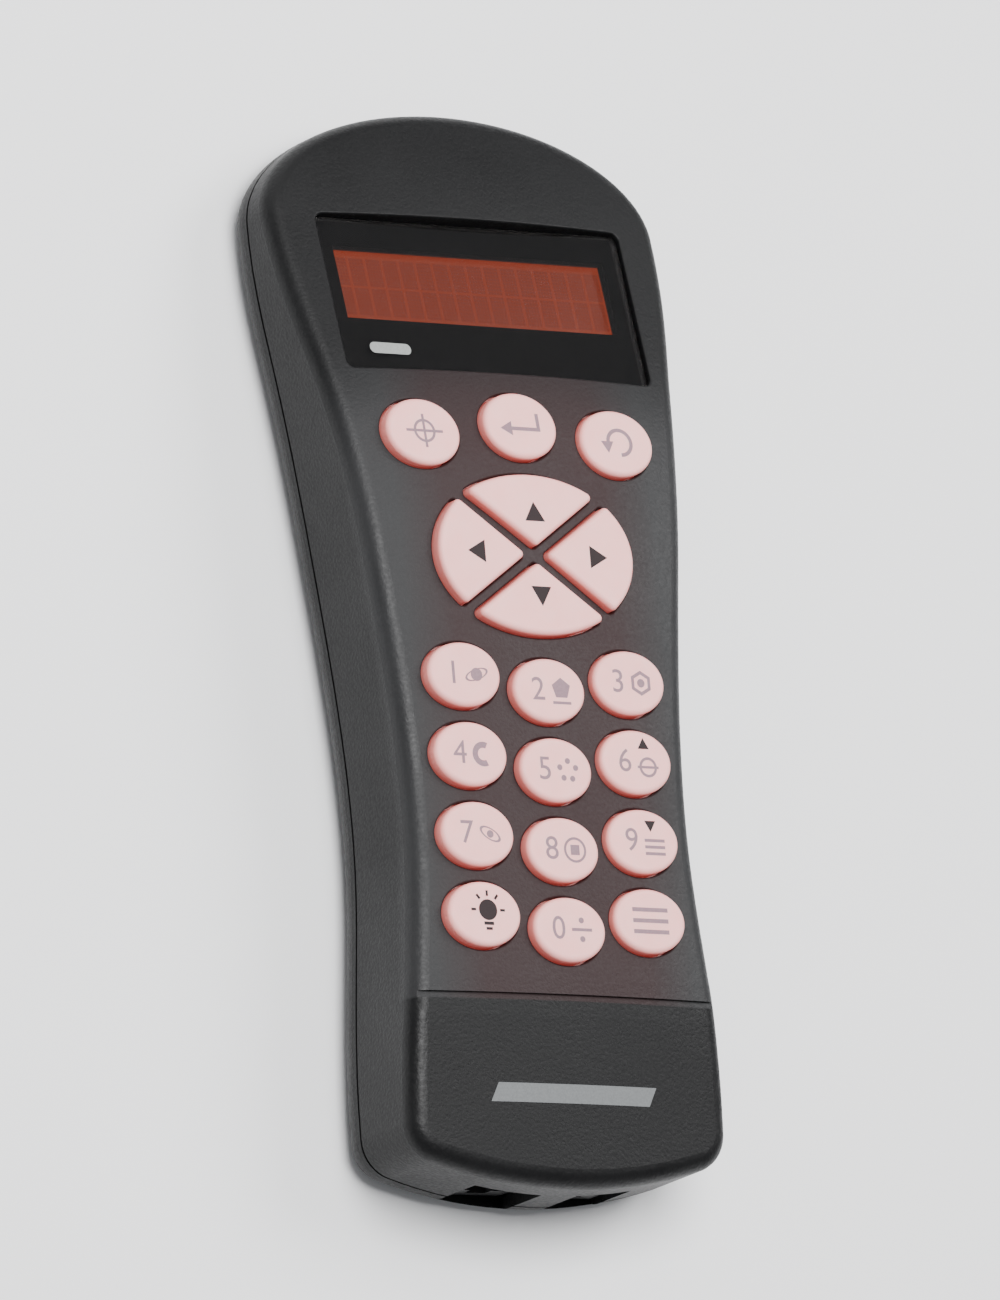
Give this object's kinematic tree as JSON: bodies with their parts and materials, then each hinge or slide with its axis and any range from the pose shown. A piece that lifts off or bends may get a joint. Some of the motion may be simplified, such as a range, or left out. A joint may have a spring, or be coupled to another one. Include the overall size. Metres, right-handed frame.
{
  "type": "telescope hand controller",
  "caption": "Handheld telescope controller: waisted plastic case, tilted backlit display, oval rubber keys round a split direction pad, and cord sockets in the tail end.",
  "frame": {"origin": "middle of the flat back, under the middle of the case", "axes": "+Y to the display end, +Z out of the keypad, +X to the right of a person reading the keys"},
  "size_m": [0.082, 0.2, 0.0308],
  "materials": {
    "case": "fine satin grain",
    "window": "gloss, black printed border",
    "tape": "matte",
    "frame_metal": "blackened",
    "lcd": "gloss",
    "light_block": "translucent",
    "strip_rubber": "matte",
    "circuit_board": "solder mask, satin",
    "chip": "matte",
    "gold": "plated",
    "mat_rubber": "matte",
    "key_rubber": "satin, backlit",
    "lamp": "clear",
    "can_metal": "bright",
    "capacitor": "sleeved",
    "steel": "blackened",
    "connector": "matte",
    "ribbon": "satin",
    "socket": "satin"
  },
  "bodies": {
    "case": {"front_shell": "case", "back_shell": "case", "case_screws": "steel", "display_window": "window", "window_tape": "tape", "lcd_frame": "frame_metal", "lcd_glass": "lcd", "lcd_backlight": "light_block", "lcd_contact_strips": "strip_rubber", "lcd_board": "circuit_board", "lcd_driver_chips": "chip", "lcd_screws": "steel", "keypad_mat": "mat_rubber", "main_board": "circuit_board", "contact_pads": "gold", "key_lamps": "lamp", "controller_chip": "chip", "memory_chip": "chip", "crystal": "can_metal", "board_capacitors": "capacitor", "board_resistors": "chip", "board_screws": "steel", "ribbon_connector": "connector", "display_ribbon": "ribbon", "cord_socket": "socket", "data_socket": "socket", "cord_contacts": "gold", "data_contacts": "gold"},
    "key_align_body": {"key_align": "key_rubber"},
    "key_enter_body": {"key_enter": "key_rubber"},
    "key_undo_body": {"key_undo": "key_rubber"},
    "key_up_body": {"key_up": "key_rubber"},
    "key_left_body": {"key_left": "key_rubber"},
    "key_right_body": {"key_right": "key_rubber"},
    "key_down_body": {"key_down": "key_rubber"},
    "key_1_body": {"key_1": "key_rubber"},
    "key_2_body": {"key_2": "key_rubber"},
    "key_3_body": {"key_3": "key_rubber"},
    "key_4_body": {"key_4": "key_rubber"},
    "key_5_body": {"key_5": "key_rubber"},
    "key_6_body": {"key_6": "key_rubber"},
    "key_7_body": {"key_7": "key_rubber"},
    "key_8_body": {"key_8": "key_rubber"},
    "key_9_body": {"key_9": "key_rubber"},
    "key_light_body": {"key_light": "key_rubber"},
    "key_0_body": {"key_0": "key_rubber"},
    "key_menu_body": {"key_menu": "key_rubber"}
  },
  "joints": [
    {"name": "key_align_press", "type": "slide", "parent": "case", "child": "key_align_body", "axis": [0, 0, -1], "range_m": [0, 0.0012], "stiffness_N_per_m": 900, "springref_m": -0.0001},
    {"name": "key_enter_press", "type": "slide", "parent": "case", "child": "key_enter_body", "axis": [0, 0, -1], "range_m": [0, 0.0012], "stiffness_N_per_m": 900, "springref_m": -0.0001},
    {"name": "key_undo_press", "type": "slide", "parent": "case", "child": "key_undo_body", "axis": [0, 0, -1], "range_m": [0, 0.0012], "stiffness_N_per_m": 900, "springref_m": -0.0001},
    {"name": "key_up_press", "type": "slide", "parent": "case", "child": "key_up_body", "axis": [0, 0, -1], "range_m": [0, 0.0012], "stiffness_N_per_m": 900, "springref_m": -0.0001},
    {"name": "key_left_press", "type": "slide", "parent": "case", "child": "key_left_body", "axis": [0, 0, -1], "range_m": [0, 0.0012], "stiffness_N_per_m": 900, "springref_m": -0.0001},
    {"name": "key_right_press", "type": "slide", "parent": "case", "child": "key_right_body", "axis": [0, 0, -1], "range_m": [0, 0.0012], "stiffness_N_per_m": 900, "springref_m": -0.0001},
    {"name": "key_down_press", "type": "slide", "parent": "case", "child": "key_down_body", "axis": [0, 0, -1], "range_m": [0, 0.0012], "stiffness_N_per_m": 900, "springref_m": -0.0001},
    {"name": "key_1_press", "type": "slide", "parent": "case", "child": "key_1_body", "axis": [0, 0, -1], "range_m": [0, 0.0012], "stiffness_N_per_m": 900, "springref_m": -0.0001},
    {"name": "key_2_press", "type": "slide", "parent": "case", "child": "key_2_body", "axis": [0, 0, -1], "range_m": [0, 0.0012], "stiffness_N_per_m": 900, "springref_m": -0.0001},
    {"name": "key_3_press", "type": "slide", "parent": "case", "child": "key_3_body", "axis": [0, 0, -1], "range_m": [0, 0.0012], "stiffness_N_per_m": 900, "springref_m": -0.0001},
    {"name": "key_4_press", "type": "slide", "parent": "case", "child": "key_4_body", "axis": [0, 0, -1], "range_m": [0, 0.0012], "stiffness_N_per_m": 900, "springref_m": -0.0001},
    {"name": "key_5_press", "type": "slide", "parent": "case", "child": "key_5_body", "axis": [0, 0, -1], "range_m": [0, 0.0012], "stiffness_N_per_m": 900, "springref_m": -0.0001},
    {"name": "key_6_press", "type": "slide", "parent": "case", "child": "key_6_body", "axis": [0, 0, -1], "range_m": [0, 0.0012], "stiffness_N_per_m": 900, "springref_m": -0.0001},
    {"name": "key_7_press", "type": "slide", "parent": "case", "child": "key_7_body", "axis": [0, 0, -1], "range_m": [0, 0.0012], "stiffness_N_per_m": 900, "springref_m": -0.0001},
    {"name": "key_8_press", "type": "slide", "parent": "case", "child": "key_8_body", "axis": [0, 0, -1], "range_m": [0, 0.0012], "stiffness_N_per_m": 900, "springref_m": -0.0001},
    {"name": "key_9_press", "type": "slide", "parent": "case", "child": "key_9_body", "axis": [0, 0, -1], "range_m": [0, 0.0012], "stiffness_N_per_m": 900, "springref_m": -0.0001},
    {"name": "key_light_press", "type": "slide", "parent": "case", "child": "key_light_body", "axis": [0, 0, -1], "range_m": [0, 0.0012], "stiffness_N_per_m": 900, "springref_m": -0.0001},
    {"name": "key_0_press", "type": "slide", "parent": "case", "child": "key_0_body", "axis": [0, 0, -1], "range_m": [0, 0.0012], "stiffness_N_per_m": 900, "springref_m": -0.0001},
    {"name": "key_menu_press", "type": "slide", "parent": "case", "child": "key_menu_body", "axis": [0, 0, -1], "range_m": [0, 0.0012], "stiffness_N_per_m": 900, "springref_m": -0.0001}
  ]
}
